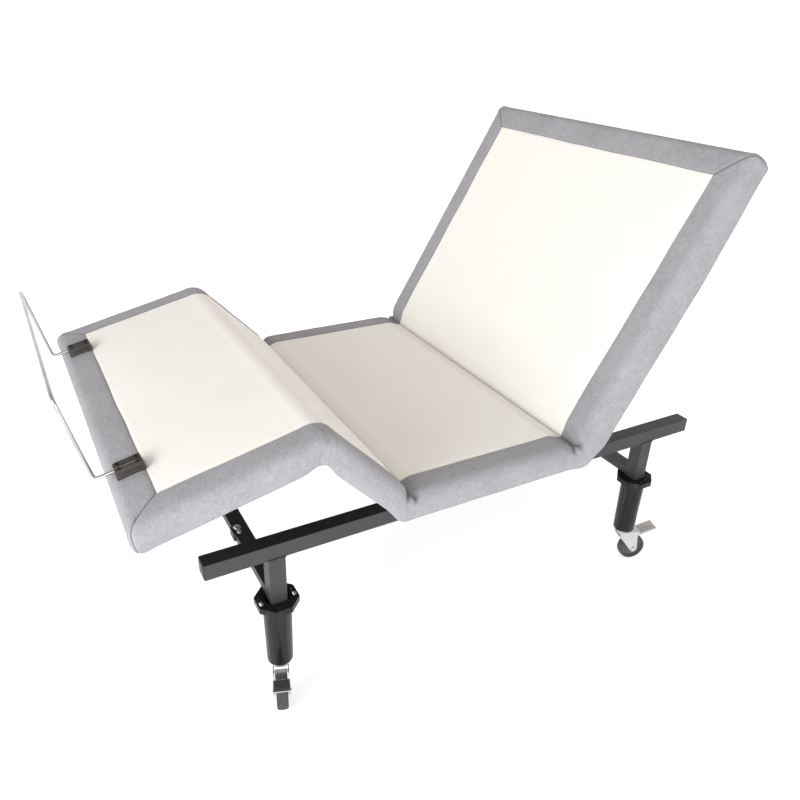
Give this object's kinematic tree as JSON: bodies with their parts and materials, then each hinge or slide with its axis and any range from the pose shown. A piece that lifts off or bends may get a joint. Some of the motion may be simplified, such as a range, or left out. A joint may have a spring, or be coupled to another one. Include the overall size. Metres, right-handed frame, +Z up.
{
  "type": "adjustable bed base",
  "caption": "Upholstered adjustable bed base on a steel underframe with round legs and braked casters, with a lifting head section and folding leg sections.",
  "frame": {"origin": "middle of the footprint at rest, on the floor", "axes": "+X towards the head end, +Y towards the right of someone lying face up, +Z up"},
  "size_m": [1.7054, 1.04, 1.2872],
  "materials": {
    "grey_upholstery": "fine woven grey cloth over foam, with a cream cloth panel on top",
    "plywood": "dark film-faced board",
    "black_steel": "satin black powder coat",
    "leg_steel": "smooth black powder coat",
    "zinc_plate": "bright zinc plate",
    "wheel_rubber": "grey tread",
    "polished_rod": "ground steel",
    "chrome_wire": "polished wire",
    "brown_plastic": "ribbed dark plastic",
    "black_plastic": "fine grained"
  },
  "bodies": {
    "base": {"control_box": "black_plastic", "cross_tube_foot": "black_steel", "cross_tube_head": "black_steel", "head_actuator": "black_plastic", "head_hinge_rod": "zinc_plate", "leg_foot_left": "leg_steel", "leg_foot_right": "leg_steel", "leg_head_left": "leg_steel", "leg_head_right": "leg_steel", "motor_tube": "black_steel", "post_foot_left": "black_steel", "post_foot_right": "black_steel", "post_head_left": "black_steel", "post_head_right": "black_steel", "rail_left": "black_steel", "rail_right": "black_steel", "seat_board": "plywood", "seat_side_plate_left": "black_steel", "seat_side_plate_right": "black_steel", "seat_upholstery": "grey_upholstery", "thigh_actuator": "black_plastic", "thigh_hinge_rod": "zinc_plate"},
    "head_section": {"head_board": "plywood", "head_horn": "black_steel", "head_lift_tube": "black_steel", "head_side_tube_left": "black_steel", "head_side_tube_right": "black_steel", "head_upholstery": "grey_upholstery"},
    "thigh_section": {"knee_rod": "zinc_plate", "thigh_board": "plywood", "thigh_horn": "black_steel", "thigh_lift_tube": "black_steel", "thigh_side_tube_left": "black_steel", "thigh_side_tube_right": "black_steel", "thigh_upholstery": "grey_upholstery"},
    "calf_section": {"calf_board": "plywood", "calf_side_tube_left": "black_steel", "calf_side_tube_right": "black_steel", "calf_upholstery": "grey_upholstery", "retainer_clamp_left": "brown_plastic", "retainer_clamp_right": "brown_plastic"},
    "retainer": {"retainer_bar": "chrome_wire"},
    "head_push_rod": {"head_push_rod": "polished_rod"},
    "thigh_push_rod": {"thigh_push_rod": "polished_rod"},
    "caster_foot_left": {"caster_fork_foot_left": "zinc_plate", "caster_axle_foot_left": "zinc_plate"},
    "wheel_foot_left": {"caster_wheel_foot_left": "wheel_rubber"},
    "pedal_foot_left": {"caster_pedal_foot_left": "zinc_plate"},
    "caster_foot_right": {"caster_fork_foot_right": "zinc_plate", "caster_axle_foot_right": "zinc_plate"},
    "wheel_foot_right": {"caster_wheel_foot_right": "wheel_rubber"},
    "pedal_foot_right": {"caster_pedal_foot_right": "zinc_plate"},
    "caster_head_left": {"caster_fork_head_left": "zinc_plate", "caster_axle_head_left": "zinc_plate"},
    "wheel_head_left": {"caster_wheel_head_left": "wheel_rubber"},
    "pedal_head_left": {"caster_pedal_head_left": "zinc_plate"},
    "caster_head_right": {"caster_fork_head_right": "zinc_plate", "caster_axle_head_right": "zinc_plate"},
    "wheel_head_right": {"caster_wheel_head_right": "wheel_rubber"},
    "pedal_head_right": {"caster_pedal_head_right": "zinc_plate"}
  },
  "joints": [
    {"name": "head_lift", "type": "hinge", "parent": "base", "child": "head_section", "pos_m": [0.34777, 0, 0.537], "axis": [0, -1, 0], "range_deg": [-59.1, 0]},
    {"name": "thigh_lift", "type": "hinge", "parent": "base", "child": "thigh_section", "pos_m": [-0.18403, 0, 0.537], "axis": [0, 1, 0], "range_deg": [-46.4, 0]},
    {"name": "knee_fold", "type": "hinge", "parent": "thigh_section", "child": "calf_section", "pos_m": [-0.37802, 0, 0.74071], "axis": [0, 1, 0], "range_deg": [0, 59.5]},
    {"name": "retainer_pull", "type": "slide", "parent": "calf_section", "child": "retainer", "axis": [-0.974, 0, -0.2267], "range_m": [0, 0.04]},
    {"name": "head_push", "type": "slide", "parent": "base", "child": "head_push_rod", "axis": [1, 0, 0], "range_m": [-0.14174, 0]},
    {"name": "thigh_push", "type": "slide", "parent": "base", "child": "thigh_push_rod", "axis": [-1, 0, 0], "range_m": [-0.10716, 0]},
    {"name": "swivel_foot_left", "type": "hinge", "parent": "base", "child": "caster_foot_left", "pos_m": [-0.46689, -0.408, 0.1166], "axis": [0, 0, 1], "continuous": true},
    {"name": "roll_foot_left", "type": "hinge", "parent": "caster_foot_left", "child": "wheel_foot_left", "pos_m": [-0.47991, -0.44582, 0.0425], "axis": [0.9455, -0.3256, 0], "continuous": true},
    {"name": "brake_foot_left", "type": "hinge", "parent": "caster_foot_left", "child": "pedal_foot_left", "pos_m": [-0.47601, -0.43448, 0.102], "axis": [0.9455, -0.3256, 0], "range_deg": [0, 10]},
    {"name": "swivel_foot_right", "type": "hinge", "parent": "base", "child": "caster_foot_right", "pos_m": [-0.46689, 0.408, 0.1166], "axis": [0, 0, 1], "continuous": true},
    {"name": "roll_foot_right", "type": "hinge", "parent": "caster_foot_right", "child": "wheel_foot_right", "pos_m": [-0.50153, 0.388, 0.0425], "axis": [0.5, -0.866, 0], "continuous": true},
    {"name": "brake_foot_right", "type": "hinge", "parent": "caster_foot_right", "child": "pedal_foot_right", "pos_m": [-0.49114, 0.394, 0.102], "axis": [0.5, -0.866, 0], "range_deg": [0, 10]},
    {"name": "swivel_head_left", "type": "hinge", "parent": "base", "child": "caster_head_left", "pos_m": [0.69411, -0.408, 0.1166], "axis": [0, 0, 1], "continuous": true},
    {"name": "roll_head_left", "type": "hinge", "parent": "caster_head_left", "child": "wheel_head_left", "pos_m": [0.73256, -0.41902, 0.0425], "axis": [0.2756, 0.9613, 0], "continuous": true},
    {"name": "brake_head_left", "type": "hinge", "parent": "caster_head_left", "child": "pedal_head_left", "pos_m": [0.72103, -0.41572, 0.102], "axis": [0.2756, 0.9613, 0], "range_deg": [0, 10]},
    {"name": "swivel_head_right", "type": "hinge", "parent": "base", "child": "caster_head_right", "pos_m": [0.69411, 0.408, 0.1166], "axis": [0, 0, 1], "continuous": true},
    {"name": "roll_head_right", "type": "hinge", "parent": "caster_head_right", "child": "wheel_head_right", "pos_m": [0.73065, 0.42427, 0.0425], "axis": [-0.4067, 0.9135, 0], "continuous": true},
    {"name": "brake_head_right", "type": "hinge", "parent": "caster_head_right", "child": "pedal_head_right", "pos_m": [0.71969, 0.41939, 0.102], "axis": [-0.4067, 0.9135, 0], "range_deg": [0, 10]}
  ],
  "couplings": [
    {"joint": "knee_fold", "follows": "thigh_lift", "ratio": -1.2823},
    {"joint": "head_push", "follows": "head_lift", "m_per_rad": 0.1374},
    {"joint": "thigh_push", "follows": "thigh_lift", "m_per_rad": 0.13231}
  ]
}
